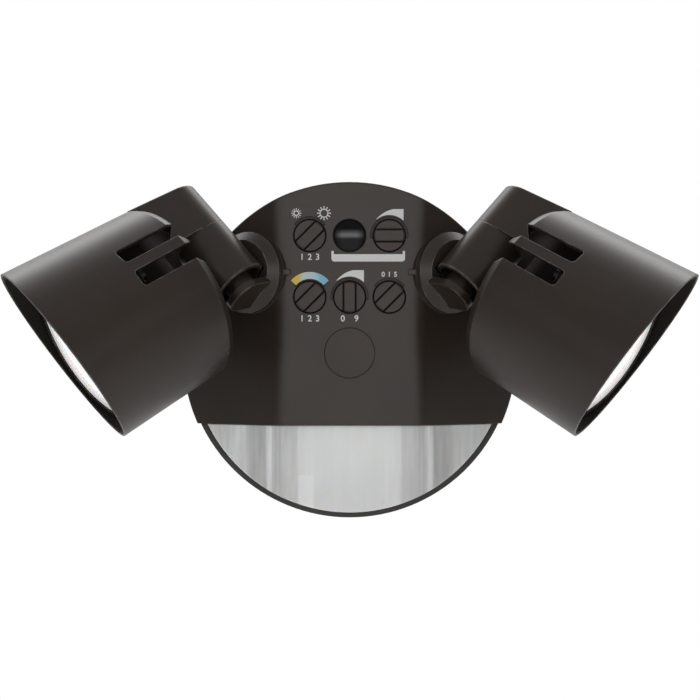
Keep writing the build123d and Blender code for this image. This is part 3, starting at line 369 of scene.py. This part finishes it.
def smoked_window(name):
    """Polished smoked dome, nearly black, with a painted highlight: a soft bar of light across its middle,
    painted into its colour and its specular.
    """
    tree = Tree(name)
    ripple = tree.noise(180.0, 1.0)
    split = tree.add("ShaderNodeSeparateXYZ")
    tree.link(tree.place, split.inputs[0])
    rise = tree.math("SUBTRACT", split.outputs["Z"], WINDOW_BAR_ROW * MM)
    above = tree.remap(rise, 0.0, WINDOW_BAR_TOP * MM, 1.0, 0.0)
    below = tree.remap(rise, WINDOW_BAR_LOW[0] * MM, WINDOW_BAR_LOW[1] * MM, 0.12, 1.0)
    side = tree.math("ABSOLUTE", split.outputs["X"])
    ends = tree.remap(side, WINDOW_BAR_ENDS[0] * MM, WINDOW_BAR_ENDS[1] * MM, 1.0, 0.0)
    bar = tree.math("MULTIPLY", tree.math("MULTIPLY", above, below), ends)
    dark = tree.mix(ripple, (0.004, 0.004, 0.005), (0.009, 0.009, 0.010))
    # Painted highlight: the bar lightens the colour.
    tree.finish("Base Color", tree.mix(bar, dark, (0.105, 0.107, 0.112)))
    scratches = tree.noise(700.0, 4.0, 0.7, stretch=(6.0, 1.0, 1.0))
    tree.finish("Roughness", tree.remap(scratches, 0.3, 0.8, 0.20, 0.32))
    tree.finish("Normal", tree.bump(ripple, 0.08, 0.0002))
    tree.finish("Specular IOR Level", tree.remap(bar, 0.0, 1.0, 0.10, 0.45))
    return tree.material


def grey(level):
    """A neutral colour."""
    return (level, level, level)


def sensor_plastic(name):
    """Milky translucent lens: fine vertical prisms inside, stripes of grey, a cloudy body and a satin skin,
    with painted light: a painted highlight on its rounded corners and low on the left, painted shade on its
    right side and low edge, and a faint painted emission.
    """
    tree = Tree(name)
    cloud = tree.noise(34.0, 3.0)
    prisms = tree.add("ShaderNodeTexWave", wave_type="BANDS", bands_direction="X", wave_profile="TRI")
    prisms.inputs["Scale"].default_value = 170.0
    tree.link(tree.place, prisms.inputs["Vector"])
    split = tree.add("ShaderNodeSeparateXYZ")
    tree.link(tree.place, split.inputs[0])
    side, height = split.outputs["X"], split.outputs["Z"]
    across = tree.remap(tree.math("ABSOLUTE", side), 0.0, SENSOR_HALF_WIDTH, 0.0, 1.0)
    bands_and_highlight = tree.ramp(across, [(place, grey(level)) for place, level in SENSOR_BANDS_AND_HIGHLIGHT])
    streaks = tree.noise(420.0, 3.0, 0.6, stretch=(1.0, 0.3, 0.10))
    side_only = tree.remap(across, 0.25, 0.5, 0.15, 1.0)
    shade = tree.math("MULTIPLY", tree.remap(streaks, 0.35, 0.65, 0.0, 1.0), side_only)
    clouded = tree.mix(tree.remap(cloud, 0.3, 0.7, 0.0, 1.0), grey(0.94), grey(1.0))
    clouded = tree.mix(shade, clouded, grey(0.80))
    # Painted shade: the right side and the low edge are darkened. Painted highlight: a light patch shows low
    # on the left.
    right_shade = tree.remap(side, *SENSOR_SHADED_SIDE, 0.0, 0.34)
    low_shade = tree.remap(height, *SENSOR_SHADED_LOW, 0.0, 0.12)
    clouded = tree.mix(tree.math("ADD", right_shade, low_shade), clouded, grey(0.45))
    # Painted highlight: the lens is lightened in a small patch low on the left.
    patch_start = tree.remap(side, *HIGHLIGHT_PATCH_SIDE, 0.0, 1.0)
    patch_width = tree.math("MULTIPLY", patch_start, tree.remap(side, *HIGHLIGHT_PATCH_END, 1.0, 0.0))
    highlight_patch = tree.math("MULTIPLY", patch_width, tree.remap(height, *HIGHLIGHT_PATCH_TOP, 1.0, 0.0))
    clouded = tree.mix(tree.math("MULTIPLY", highlight_patch, 0.8), clouded, grey(1.0))
    shaded = tree.add("ShaderNodeMix", data_type="RGBA", blend_type="MULTIPLY")
    shaded.inputs["Factor"].default_value = 1.0
    tree.link(bands_and_highlight, shaded.inputs[6])
    tree.link(clouded, shaded.inputs[7])
    rib_start, rib_full, rib_fade, rib_end = SENSOR_RIBS
    ribs_in = tree.remap(across, rib_start, rib_full, 0.0, 1.0)
    ribs_out = tree.remap(across, rib_fade, rib_end, 1.0, 0.0)
    rib_zone = tree.math("MULTIPLY", ribs_in, ribs_out)
    ribs = tree.math("MULTIPLY", tree.math("MULTIPLY", rib_zone, prisms.outputs["Fac"]), 0.5)
    body = tree.mix(ribs, shaded.outputs[2], grey(0.40))
    mask, rounded = tree.edges(0.0008)
    tree.finish("Base Color", tree.mix(tree.math("MULTIPLY", mask, 0.25), body, grey(0.40)))
    skin = tree.noise(1300.0, 2.0)
    tree.finish("Roughness", tree.remap(skin, 0.3, 0.7, 0.30, 0.40))
    tree.finish("Normal", tree.bump(skin, 0.10, 0.00008, rounded))
    # Painted light: the lens gives off a little light of its own colour, though it is no lamp.
    tree.finish("Emission Color", body)
    tree.set(Subsurface_Weight=0.35, Subsurface_Scale=0.004, Specular_IOR_Level=0.45, Emission_Strength=0.07)
    return tree.material


def frosted_lens(name, painted_glow):
    """Frosted white diffuser of a lamp: even white with a very fine sand-blast grain, and painted light: it
    gives off light though the lamp is off.
    """
    tree = Tree(name)
    grain = tree.noise(3200.0, 2.0)
    cloud = tree.noise(30.0, 2.0)
    tree.finish("Base Color", tree.mix(cloud, (0.80, 0.80, 0.79), (0.86, 0.86, 0.85)))
    tree.finish("Roughness", tree.remap(grain, 0.3, 0.7, 0.34, 0.46))
    tree.finish("Normal", tree.bump(grain, 0.12, 0.00008))
    # Painted light: the diffuser emits light of its own, though the lamp is off.
    tree.finish("Emission Color", tree.mix(cloud, (0.84, 0.84, 0.83), (0.98, 0.98, 0.97)))
    tree.set(Subsurface_Weight=0.3, Subsurface_Scale=0.003, Emission_Strength=painted_glow)
    return tree.material


def circuit_board(name, mask_colour, trace_colour):
    """Solder mask over copper: a grid of tracks, pads and a satin lacquer."""
    tree = Tree(name)
    blocks = tree.add("ShaderNodeTexBrick", offset=0.37, squash=0.7, squash_frequency=3)
    blocks.inputs["Scale"].default_value = 190.0
    blocks.inputs["Mortar Size"].default_value = 0.012
    blocks.inputs["Color1"].default_value = (0, 0, 0, 1)
    blocks.inputs["Color2"].default_value = (0, 0, 0, 1)
    blocks.inputs["Mortar"].default_value = (1, 1, 1, 1)
    mapping = tree.add("ShaderNodeMapping")
    mapping.inputs["Rotation"].default_value = (math.pi / 2, 0, 0)
    tree.link(tree.place, mapping.inputs["Vector"])
    tree.link(mapping.outputs[0], blocks.inputs["Vector"])
    pads = tree.remap(tree.cells(420.0), 0.10, 0.14, 1.0, 0.0)
    body = tree.mix(blocks.outputs["Color"], mask_colour, trace_colour)
    tree.finish("Base Color", tree.mix(pads, body, (0.62, 0.60, 0.55)))
    tree.finish("Roughness", tree.remap(tree.noise(800.0), 0.3, 0.7, 0.25, 0.4))
    tree.finish("Normal", tree.bump(blocks.outputs["Color"], 0.2, 0.0001))
    return tree.material


def print_ink(name, base):
    """Pad-printed ink: slightly uneven cover with tiny pinholes."""
    tree = Tree(name)
    cover = tree.remap(tree.noise(2400.0, 3.0, 0.6), 0.30, 0.55, 0.55, 1.0)
    tree.finish("Base Color", tree.mix(cover, tint(base, 0.75), base))
    tree.finish("Roughness", tree.remap(tree.noise(1500.0), 0.3, 0.7, 0.45, 0.6))
    tree.finish("Normal", tree.bump(tree.noise(2600.0), 0.15, 0.00006))
    tree.set(Specular_IOR_Level=0.35)
    return tree.material


def colour_ink(name):
    """The colour scale over its dial: yellow through white to blue."""
    tree = Tree(name)
    separate = tree.add("ShaderNodeSeparateXYZ")
    tree.link(tree.place, separate.inputs[0])
    left = (-DIAL_COLUMN - COLOUR_HALF_WIDTH) * MM
    right = (-DIAL_COLUMN + COLOUR_HALF_WIDTH) * MM
    along = tree.remap(separate.outputs["X"], left, right, 0.0, 1.0)
    scale = tree.ramp(
        along,
        [
            (0.0, (0.72, 0.53, 0.06)),
            (0.22, (0.74, 0.56, 0.09)),
            (0.34, (0.58, 0.66, 0.62)),
            (0.62, (0.48, 0.64, 0.72)),
            (0.78, (0.22, 0.52, 0.72)),
            (1.0, (0.18, 0.48, 0.70)),
        ],
    )
    cover = tree.remap(tree.noise(2400.0, 3.0, 0.6), 0.30, 0.55, 0.7, 1.0)
    tree.finish("Base Color", tree.mix(cover, (0.35, 0.36, 0.33), scale))
    tree.finish("Roughness", tree.remap(tree.noise(1500.0), 0.3, 0.7, 0.45, 0.6))
    tree.finish("Normal", tree.bump(tree.noise(2600.0), 0.15, 0.00006))
    tree.set(Specular_IOR_Level=0.35)
    return tree.material


COAT_SPECULAR = 0.5
PLASTIC_SPECULAR = 0.45
BARREL_INNER_SHADE = (0.014, 0.0118, 0.0098)
BRONZE = (0.028, 0.0185, 0.0130)
MATERIALS = {
    "gasket_foam": rubber("gasket_foam", (0.030, 0.030, 0.030)),
    "zinc_steel": plated("zinc_steel", (0.62, 0.61, 0.58)),
    "rear_casting": powder_coat("rear_casting", (0.030, 0.029, 0.028), 0.46),
    "grommet_rubber": rubber("grommet_rubber", (0.020, 0.020, 0.020)),
    "housing_casting": powder_coat("housing_casting", BRONZE, 0.38, wear_and_highlight=(0.045, 0.036, 0.03), dials=True),
    # The pale edge colours of the swivel and head castings are a painted edge highlight.
    "swivel_casting": powder_coat("swivel_casting", BRONZE, 0.36, wear_and_highlight=(0.24, 0.22, 0.20)),
    "head_casting": powder_coat("head_casting", BRONZE, 0.34, wear_and_highlight=(0.34, 0.32, 0.30), inner=True),
    "cap_plastic": moulded("cap_plastic", (0.040, 0.028, 0.020), 0.42),
    "dial_plastic": moulded("dial_plastic", (0.046, 0.033, 0.025), 0.44, dials=True),
    "window_plastic": smoked_window("window_plastic"),
    "sensor_plastic": sensor_plastic("sensor_plastic"),
    "fresnel_plastic": moulded("fresnel_plastic", (0.72, 0.72, 0.70), 0.35, 900.0, 0.1),
    "circuit_board": circuit_board("circuit_board", (0.015, 0.12, 0.04), (0.05, 0.28, 0.09)),
    "white_board": circuit_board("white_board", (0.72, 0.72, 0.70), (0.60, 0.60, 0.57)),
    "component_black": moulded("component_black", (0.020, 0.020, 0.022), 0.5),
    "component_blue": moulded("component_blue", (0.02, 0.05, 0.18), 0.3, 1200.0, 0.05),
    "metal_can": plated("metal_can", (0.70, 0.67, 0.60), 0.22),
    "emitter": moulded("emitter", (0.80, 0.62, 0.12), 0.35, 2400.0, 0.1),
    "reflector_white": moulded("reflector_white", (0.82, 0.82, 0.81), 0.3, 1500.0, 0.05),
    "lens_diffuser": frosted_lens("lens_diffuser", 0.50),
    "seal_rubber": rubber("seal_rubber", (0.018, 0.018, 0.018)),
    # The bezel ring also gives off painted light.
    "ring_plastic": frosted_lens("ring_plastic", 0.22),
}
PRINT_GREY = print_ink("print_grey", (0.74, 0.74, 0.73))
PRINT_COLOUR = colour_ink("print_colour")
BLACK_ZINC = plated("black_zinc", (0.050, 0.046, 0.042), 0.36)

for part in frame["record"]["subparts"]:
    piece = frame["nodes"][part["node"]]
    dressed = BLACK_ZINC if part["node"].endswith("head_screws") else MATERIALS[part["material_slot"]]
    piece.data.materials.clear()
    piece.data.materials.append(dressed)


# =====================================================================
# Mesh helpers
# =====================================================================
def new_piece(name, mesh, material, body):
    """Link a finished mesh, dress it and let it ride on a body."""
    obj = bpy.data.objects.new(name, mesh)
    bpy.context.scene.collection.objects.link(obj)
    mesh.materials.clear()
    mesh.materials.append(material)
    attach(obj, body)


def inked(name, curve, material, centre=(0.0, 0.0)):
    """Turn a flat curve into ink on the flat of the housing, at an (X, Z) place in millimetres."""
    curve.extrude = (PRINT_RISE + PRINT_SINK) / 2 * MM
    flat = bpy.data.objects.new(name + "_curve", curve)
    bpy.context.scene.collection.objects.link(flat)
    bpy.context.view_layer.update()
    graph = bpy.context.evaluated_depsgraph_get()
    mesh = bpy.data.meshes.new_from_object(flat.evaluated_get(graph), depsgraph=graph)
    bpy.data.objects.remove(flat)
    lift = -(FLAT_FRONT + (PRINT_RISE - PRINT_SINK) / 2) * MM
    place = Matrix.Translation((centre[0] * MM, lift, centre[1] * MM))
    mesh.transform(place @ Matrix.Rotation(math.pi / 2, 4, "X"))
    new_piece(name, mesh, material, "canopy")


def printed(name, outlines, material, holes=()):
    """A printed shape. Outlines and holes are lists of (X, Z) points in millimetres."""
    curve = bpy.data.curves.new(name, "CURVE")
    curve.dimensions = "2D"
    curve.fill_mode = "BOTH"
    for outline in (*outlines, *holes):
        spline = curve.splines.new("POLY")
        spline.points.add(len(outline) - 1)
        for point, (x, z) in zip(spline.points, outline):
            point.co = (x * MM, z * MM, 0, 1)
        spline.use_cyclic_u = True
    inked(name, curve, material)


def numeral(name, text, centre, height):
    """Plain numbers, printed on the flat."""
    curve = bpy.data.curves.new(name, "FONT")
    curve.body = text
    curve.align_x = "CENTER"
    curve.align_y = "CENTER"
    curve.size = height * NUMERAL_SIZE_PER_HEIGHT * MM
    curve.space_character = NUMERAL_SPACING
    curve.offset = NUMERAL_BOLDER * MM
    inked(name, curve, PRINT_GREY, centre)


def arc(centre, radius, start, end, count=24):
    """Points on an arc, angles in degrees."""
    step = (end - start) / (count - 1)
    angles = [math.radians(start + step * index) for index in range(count)]
    return [(centre[0] + radius * math.cos(a), centre[1] + radius * math.sin(a)) for a in angles]


def band(centre, inner, outer, start, end, count=32):
    """Outline of an arc-shaped band."""
    return arc(centre, outer, start, end, count) + arc(centre, inner, end, start, count)


def sun(centre, core, hollow, ray_start, ray_end, ray_width, rays=12):
    """A ring with rays round it: outlines and the hole of the ring."""
    outlines = [arc(centre, core, 0, 360 - 360 / 32, 32)]
    for index in range(rays):
        turn = 2 * math.pi * index / rays
        out = Vector((math.cos(turn), math.sin(turn)))
        across = Vector((-out.y, out.x)) * ray_width / 2
        middle = Vector(centre)
        corners = (
            middle + out * ray_start + across,
            middle + out * ray_end + across,
            middle + out * ray_end - across,
            middle + out * ray_start - across,
        )
        outlines.append([tuple(corner) for corner in corners])
    return outlines, [arc(centre, hollow, 0, 360 - 360 / 24, 24)]


# =====================================================================
# Printed marks on the controls
# =====================================================================
SUN_ROW = 64.5
small_sun, small_hole = sun(
    (-24.6, SUN_ROW), core=1.22, hollow=0.82, ray_start=1.27, ray_end=2.35, ray_width=0.34
)
printed("mark_sun_small", small_sun, PRINT_GREY, small_hole)
large_sun, large_hole = sun(
    (-11.8, SUN_ROW), core=2.05, hollow=1.60, ray_start=2.10, ray_end=3.25, ray_width=0.46
)
printed("mark_sun_large", large_sun, PRINT_GREY, large_hole)


def bulge(tip, shoulder, top):
    """Points on the curve that swells from the tip of a wedge to its flat top."""
    knee = (tip[0] + (shoulder[0] - tip[0]) * WEDGE_KNEE[0], tip[1] + (top - tip[1]) * WEDGE_KNEE[1])
    points = []
    for index in range(WEDGE_STEPS + 1):
        share = index / WEDGE_STEPS
        rest = 1 - share
        weights = (rest * rest, 2 * share * rest, share * share)
        corners = (tip, knee, shoulder)
        points.append(tuple(sum(w * corner[i] for w, corner in zip(weights, corners)) for i in range(2)))
    return points


def wedge(name, centre, tip, shoulder, right, top):
    """A level that swells from a point: bulging top, upright right edge and a hollow underside."""
    tip_angle = math.degrees(math.atan2(tip[1] - centre[1], tip[0] - centre[0]))
    right_angle = math.degrees(math.acos((right - centre[0]) / WEDGE_INNER))
    under = arc(centre, WEDGE_INNER, right_angle, tip_angle, 20)
    printed(name, [[*bulge(tip, shoulder, top), (right, top), *under[:-1]]], PRINT_GREY)


WEDGE_INNER = 9.5
WEDGE_KNEE = (0.42, 0.80)
WEDGE_STEPS = 10
daylight_centre = (DIAL_COLUMN, DIAL_ROW_TOP)
motion_centre = (0.0, DIAL_ROW_LOW)
wedge("mark_daylight", daylight_centre, tip=(12.2, 61.6), shoulder=(20.2, 66.4), right=24.9, top=66.4)
wedge("mark_motion", motion_centre, tip=(-6.2, 33.3), shoulder=(1.6, 38.2), right=6.6, top=38.2)

colour_centre = (-DIAL_COLUMN, DIAL_ROW_LOW)
colour_band = band(colour_centre, inner=8.4, outer=11.6, start=139, end=41)
printed("mark_colour", [colour_band], PRINT_COLOUR)

BRACKET_LEFT, BRACKET_RIGHT = -8.4, 25.6
BRACKET_TOP, BRACKET_LOW, BRACKET_END_TOP = 45.6, 42.2, 47.1
BRACKET_END_WIDTH, BRACKET_ROUND = 1.1, 1.4
bracket = [
    (BRACKET_LEFT, BRACKET_END_TOP),
    *arc((BRACKET_LEFT + BRACKET_ROUND, BRACKET_LOW + BRACKET_ROUND), BRACKET_ROUND, 180, 270, 8),
    *arc((BRACKET_RIGHT - BRACKET_ROUND, BRACKET_LOW + BRACKET_ROUND), BRACKET_ROUND, 270, 360, 8),
    (BRACKET_RIGHT, BRACKET_END_TOP),
    (BRACKET_RIGHT - BRACKET_END_WIDTH, BRACKET_END_TOP),
    (BRACKET_RIGHT - BRACKET_END_WIDTH, BRACKET_TOP),
    (BRACKET_LEFT + BRACKET_END_WIDTH, BRACKET_TOP),
    (BRACKET_LEFT + BRACKET_END_WIDTH, BRACKET_END_TOP),
]
printed("mark_bracket", [bracket], PRINT_GREY)


NUMERAL_HEIGHT = 2.9
MODE_NUMERAL_HEIGHT = 2.3
NUMERAL_ROW_TOP = 44.2
NUMERAL_ROW_LOW = 15.8
MODE_NUMERAL_ROW = 36.2
numeral("mark_scale_dim", "1 2 3", (-DIAL_COLUMN, NUMERAL_ROW_TOP), NUMERAL_HEIGHT)
numeral("mark_scale_colour", "1 2 3", (-DIAL_COLUMN, NUMERAL_ROW_LOW), NUMERAL_HEIGHT)
numeral("mark_scale_motion", "0   9", (0.0, NUMERAL_ROW_LOW), NUMERAL_HEIGHT)
numeral("mark_scale_mode", "0 1 5", (DIAL_COLUMN, MODE_NUMERAL_ROW), MODE_NUMERAL_HEIGHT)


# =====================================================================
# Stage, camera and lights
# =====================================================================
FLOOR_LEVEL = -0.30
FLOOR_HALF_SIZE = 6.0
FLOOR_FADE = (0.40, 0.75)
FLOOR_WHITE_SHARE = (0.6, 1.0)

# Light of the room by direction: a soft strip behind the camera, the front, the top and the back.
STRIP_LEVEL = 1.9
STRIP_HEIGHT = (0.05, 0.40)
STRIP_DEPTH = (-0.70, -0.42)
FRONT_LEVEL = 0.20
SIDE_LEVEL = 0.012
FRONT_DEPTH = (-0.9, -0.15)
TOP_LEVEL = 0.38
TOP_HEIGHT = (0.2, 0.95)
REAR_LEVEL = 0.95
REAR_DEPTH = (0.05, 0.60)
REAR_HEIGHT = (-0.15, 0.30)
REAR_LOW_SHARE = 0.12


class Wiring:
    """Nodes of the floor's material or of the world, linked in a line or two."""

    def __init__(self, owner):
        owner.use_nodes = True
        self.nodes = owner.node_tree.nodes
        self.links = owner.node_tree.links
        self.nodes.clear()

    def level(self, source, limits, to_low, to_high, smooth=False):
        """Map the first range to the second, and hold its ends."""
        node = self.nodes.new("ShaderNodeMapRange")
        node.interpolation_type = "SMOOTHSTEP" if smooth else "LINEAR"
        numbers = (*limits, to_low, to_high)
        for socket, number in zip(RANGE_SOCKETS, numbers):
            node.inputs[socket].default_value = number
        self.links.new(source, node.inputs["Value"])
        return node.outputs[0]

    def combine(self, operation, first, second=None):
        node = self.nodes.new("ShaderNodeMath")
        node.operation = operation
        self.links.new(first, node.inputs[0])
        if second is not None:
            self.links.new(second, node.inputs[1])
        return node.outputs[0]

    def blend(self, share, first, second, output_kind):
        """Mix two shaders and show the result."""
        node = self.nodes.new("ShaderNodeMixShader")
        output = self.nodes.new(output_kind)
        self.links.new(share, node.inputs["Fac"])
        self.links.new(first.outputs[0], node.inputs[1])
        self.links.new(second.outputs[0], node.inputs[2])
        self.links.new(node.outputs[0], output.inputs["Surface"])

    def white(self, kind):
        """A shader that shows plain white."""
        node = self.nodes.new(kind)
        node.inputs["Color"].default_value = (1, 1, 1, 1)
        node.inputs["Strength"].default_value = 1.0
        return node


def make_floor():
    """A plain pale floor below the light."""
    data = bmesh.new()
    bmesh.ops.create_grid(data, x_segments=8, y_segments=8, size=FLOOR_HALF_SIZE)
    mesh = bpy.data.meshes.new("floor")
    data.to_mesh(mesh)
    data.free()
    mesh.transform(Matrix.Translation((0, 0, FLOOR_LEVEL)))
    floor = bpy.data.objects.new("floor", mesh)
    bpy.context.scene.collection.objects.link(floor)
    material = bpy.data.materials.new("floor")
    wiring = Wiring(material)
    diffuse = wiring.nodes.new("ShaderNodeBsdfDiffuse")
    diffuse.inputs["Color"].default_value = (0.88, 0.88, 0.88, 1)
    # The shadow shows below the light and fades out before the floor meets the white room.
    place = wiring.nodes.new("ShaderNodeTexCoord")
    reach = wiring.nodes.new("ShaderNodeVectorMath")
    reach.operation = "LENGTH"
    wiring.links.new(place.outputs["Object"], reach.inputs[0])
    fade = wiring.level(reach.outputs["Value"], FLOOR_FADE, *FLOOR_WHITE_SHARE)
    path = wiring.nodes.new("ShaderNodeLightPath")
    share = wiring.combine("MULTIPLY", path.outputs["Is Camera Ray"], fade)
    wiring.blend(share, diffuse, wiring.white("ShaderNodeEmission"), "ShaderNodeOutputMaterial")
    mesh.materials.append(material)


def make_world():
    """White where the camera looks past the light, a soft grey studio for everything else."""
    world = bpy.data.worlds.new("studio")
    bpy.context.scene.world = world
    wiring = Wiring(world)
    place = wiring.nodes.new("ShaderNodeTexCoord")
    split = wiring.nodes.new("ShaderNodeSeparateXYZ")
    wiring.links.new(place.outputs["Generated"], split.inputs[0])
    height, depth = split.outputs["Z"], split.outputs["Y"]
    strip = wiring.combine(
        "MULTIPLY",
        wiring.level(wiring.combine("ABSOLUTE", height), STRIP_HEIGHT, STRIP_LEVEL, 0.0, smooth=True),
        wiring.level(depth, STRIP_DEPTH, 1.0, 0.0, smooth=True),
    )
    front = wiring.level(depth, FRONT_DEPTH, FRONT_LEVEL, SIDE_LEVEL, smooth=True)
    above = wiring.level(height, TOP_HEIGHT, 0.0, TOP_LEVEL, smooth=True)
    behind = wiring.combine(
        "MULTIPLY",
        wiring.level(depth, REAR_DEPTH, 0.0, REAR_LEVEL, smooth=True),
        wiring.level(height, REAR_HEIGHT, REAR_LOW_SHARE, 1.0, smooth=True),
    )
    total = wiring.combine("ADD", wiring.combine("ADD", strip, front), wiring.combine("ADD", above, behind))
    room = wiring.nodes.new("ShaderNodeBackground")
    room.inputs["Color"].default_value = (1, 1, 1, 1)
    wiring.links.new(total, room.inputs["Strength"])
    path = wiring.nodes.new("ShaderNodeLightPath")
    seen = wiring.combine("MAXIMUM", path.outputs["Is Camera Ray"], path.outputs["Is Transmission Ray"])
    wiring.blend(seen, room, wiring.white("ShaderNodeBackground"), "ShaderNodeOutputWorld")


def area_light(name, place, target, width, height, power):
    """A soft box that points at a target and isn't seen itself."""
    data = bpy.data.lights.new(name, "AREA")
    data.shape = "RECTANGLE"
    data.size = width
    data.size_y = height
    data.energy = power
    lamp = bpy.data.objects.new(name, data)
    lamp.location = place
    lamp.rotation_euler = (Vector(target) - Vector(place)).to_track_quat("-Z", "Y").to_euler()
    lamp.visible_camera = False
    bpy.context.scene.collection.objects.link(lamp)


make_floor()
make_world()
area_light("rear_top", place=(0.0, 1.1, 1.3), target=(0, 0, 0), width=2.2, height=0.7, power=10.0)

SENSOR_WIDTH = 36.0
PIXELS_PER_RADIAN = 2150.0
FRAME_PIXELS = 700.0
CAMERA_PLACE = (0.00019, -1.042, 0.00136)
camera_data = bpy.data.cameras.new("camera")
camera_data.sensor_width = SENSOR_WIDTH
camera_data.lens = SENSOR_WIDTH * PIXELS_PER_RADIAN / FRAME_PIXELS
camera = bpy.data.objects.new("camera", camera_data)
camera.location = CAMERA_PLACE
camera.rotation_euler = (math.pi / 2, 0, 0)
bpy.context.scene.collection.objects.link(camera)
bpy.context.scene.camera = camera

bpy.context.scene.view_settings.view_transform = "Standard"
